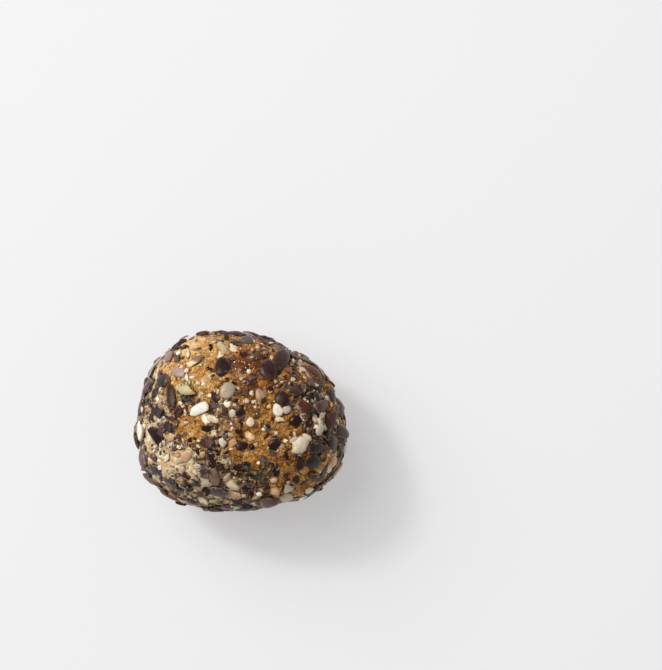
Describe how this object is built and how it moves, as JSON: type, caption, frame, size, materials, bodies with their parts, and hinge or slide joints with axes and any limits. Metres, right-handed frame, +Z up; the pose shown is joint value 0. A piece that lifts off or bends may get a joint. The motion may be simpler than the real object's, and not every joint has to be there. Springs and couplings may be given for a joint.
{
  "type": "kinako ball",
  "caption": "Bite-sized hand-pressed ball of roasted soy flour dough and sesame seeds, which rests on a small flat spot.",
  "frame": {"origin": "middle of the flat spot that the ball rests on, straight below the middle of its outline from above", "axes": "+Z up, +X along the ball's longest way across, to the right as seen from above with +Y at the top"},
  "size_m": [0.0293, 0.0248, 0.0229],
  "materials": {
    "kinako_dough": "dull golden brown crumb of roasted soy flour, with matte dark and pale sesame seeds pressed into it"
  },
  "bodies": {
    "root": {"kinako_ball": "kinako_dough"}
  },
  "joints": []
}
